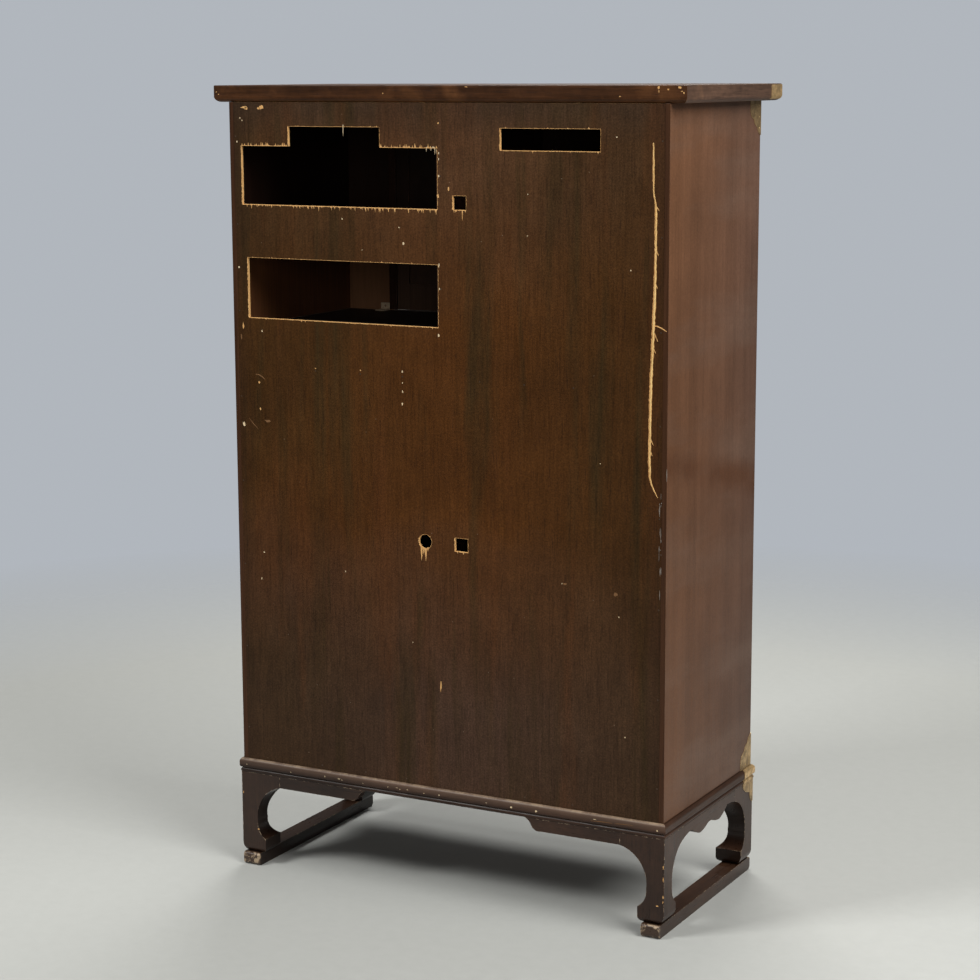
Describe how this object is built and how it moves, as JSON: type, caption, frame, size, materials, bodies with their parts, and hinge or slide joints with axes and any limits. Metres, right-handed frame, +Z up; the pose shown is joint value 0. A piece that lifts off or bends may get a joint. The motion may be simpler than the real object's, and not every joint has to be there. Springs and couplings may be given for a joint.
{
  "type": "storage cabinet",
  "caption": "Tall dark wooden storage cabinet on a stand with hoofed legs, with framed doors, shallow drawers, brass corners and openings cut in its back for equipment.",
  "frame": {"origin": "on the floor, under the middle of the overall box", "axes": "+Z up; -Y is the front with the doors, +Y the back; +X to the right as seen from the front"},
  "size_m": [1.006, 0.465, 1.58],
  "materials": {
    "back_ply": "dark stained, rubbed satin",
    "body_veneer": "satin lacquer",
    "stand_wood": "dark satin lacquer, worn at the edges",
    "front_wood": "satin lacquer",
    "inner_wood": "dark stain, dusty",
    "brass": "aged, rubbed",
    "steel": "dull zinc"
  },
  "bodies": {
    "cabinet": {"top_board": "body_veneer", "side_panel_left": "body_veneer", "side_panel_right": "body_veneer", "back_panel": "back_ply", "back_pins": "steel", "centre_divider": "inner_wood", "bottom_board": "inner_wood", "tier_board": "inner_wood", "drawer_board": "inner_wood", "upper_shelves": "inner_wood", "lower_shelves": "inner_wood", "front_stile_left": "front_wood", "front_stile_right": "front_wood", "front_top_rail": "front_wood", "drawer_guides": "inner_wood", "front_brackets": "steel", "door_catches": "steel", "hinge_leaves_and_pins": "brass", "corner_brass": "brass", "front_apron": "stand_wood", "top_lipping_front": "body_veneer", "stand_moulding_front": "stand_wood", "top_lipping_back": "body_veneer", "stand_moulding_back": "stand_wood", "top_lipping_left": "body_veneer", "stand_moulding_left": "stand_wood", "top_lipping_right": "body_veneer", "stand_moulding_right": "stand_wood", "front_left_leg": "stand_wood", "rear_left_leg": "stand_wood", "side_apron_left": "stand_wood", "rear_spandrel_left": "stand_wood", "runner_left": "stand_wood", "front_right_leg": "stand_wood", "rear_right_leg": "stand_wood", "side_apron_right": "stand_wood", "rear_spandrel_right": "stand_wood", "runner_right": "stand_wood"},
    "upper_left_door": {"upper_left_door_frame": "front_wood", "upper_left_door_panel": "front_wood", "upper_left_door_fittings": "brass"},
    "upper_left_door_pull": {"upper_left_door_ring": "brass"},
    "lower_left_door": {"lower_left_door_frame": "front_wood", "lower_left_door_panel": "front_wood", "lower_left_door_fittings": "brass"},
    "lower_left_door_pull": {"lower_left_door_ring": "brass"},
    "left_drawer": {"left_drawer_front": "front_wood", "left_drawer_box": "inner_wood", "left_drawer_knob": "brass"},
    "upper_right_door": {"upper_right_door_frame": "front_wood", "upper_right_door_panel": "front_wood", "upper_right_door_fittings": "brass"},
    "upper_right_door_pull": {"upper_right_door_ring": "brass"},
    "lower_right_door": {"lower_right_door_frame": "front_wood", "lower_right_door_panel": "front_wood", "lower_right_door_fittings": "brass"},
    "lower_right_door_pull": {"lower_right_door_ring": "brass"},
    "right_drawer": {"right_drawer_front": "front_wood", "right_drawer_box": "inner_wood", "right_drawer_knob": "brass"}
  },
  "joints": [
    {"name": "upper_left_door_hinge", "type": "hinge", "parent": "cabinet", "child": "upper_left_door", "pos_m": [-0.342, -0.2119, 1.315], "axis": [0, 0, -1], "range_deg": [0, 165]},
    {"name": "upper_left_door_ring_swing", "type": "hinge", "parent": "upper_left_door", "child": "upper_left_door_pull", "pos_m": [-0.019, -0.2165, 1.315], "axis": [-1, 0, 0], "range_deg": [-8, 165]},
    {"name": "lower_left_door_hinge", "type": "hinge", "parent": "cabinet", "child": "lower_left_door", "pos_m": [-0.342, -0.2119, 0.632], "axis": [0, 0, -1], "range_deg": [0, 165]},
    {"name": "lower_left_door_ring_swing", "type": "hinge", "parent": "lower_left_door", "child": "lower_left_door_pull", "pos_m": [-0.019, -0.2165, 0.632], "axis": [-1, 0, 0], "range_deg": [-8, 165]},
    {"name": "left_drawer_slide", "type": "slide", "parent": "cabinet", "child": "left_drawer", "axis": [0, -1, 0], "range_m": [0, 0.24]},
    {"name": "upper_right_door_hinge", "type": "hinge", "parent": "cabinet", "child": "upper_right_door", "pos_m": [0.342, -0.2119, 1.315], "axis": [0, 0, 1], "range_deg": [0, 165]},
    {"name": "upper_right_door_ring_swing", "type": "hinge", "parent": "upper_right_door", "child": "upper_right_door_pull", "pos_m": [0.019, -0.2165, 1.315], "axis": [-1, 0, 0], "range_deg": [-8, 165]},
    {"name": "lower_right_door_hinge", "type": "hinge", "parent": "cabinet", "child": "lower_right_door", "pos_m": [0.342, -0.2119, 0.632], "axis": [0, 0, 1], "range_deg": [0, 165]},
    {"name": "lower_right_door_ring_swing", "type": "hinge", "parent": "lower_right_door", "child": "lower_right_door_pull", "pos_m": [0.019, -0.2165, 0.632], "axis": [-1, 0, 0], "range_deg": [-8, 165]},
    {"name": "right_drawer_slide", "type": "slide", "parent": "cabinet", "child": "right_drawer", "axis": [0, -1, 0], "range_m": [0, 0.24]}
  ]
}
